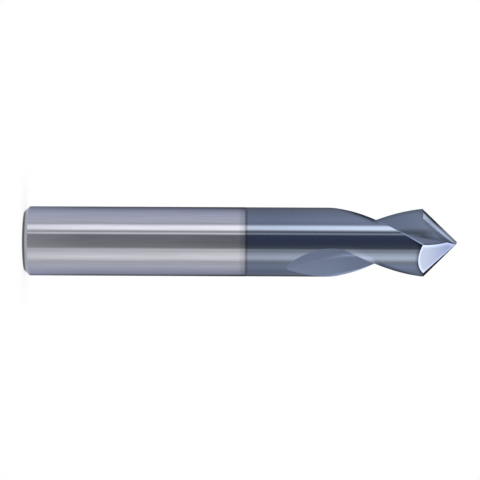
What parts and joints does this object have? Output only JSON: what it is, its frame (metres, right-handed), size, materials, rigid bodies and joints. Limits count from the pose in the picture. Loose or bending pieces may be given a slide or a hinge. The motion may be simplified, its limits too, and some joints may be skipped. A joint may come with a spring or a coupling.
{
  "type": "spotting drill",
  "caption": "Short rigid solid carbide spotting drill with a plain ground shank, a coated front, right-hand helical flutes and a 90 degree point for starting and chamfering holes.",
  "frame": {"origin": "centre of the flat end face of the shank", "axes": "+Z along the axis towards the point; +X along the cutting lips, so a cutting corner lies towards +X"},
  "size_m": [0.012, 0.012, 0.075],
  "materials": {
    "carbide": "ground, with a dark blue-grey coating on the front part"
  },
  "bodies": {
    "root": {"spotting_drill": "carbide"}
  },
  "joints": []
}
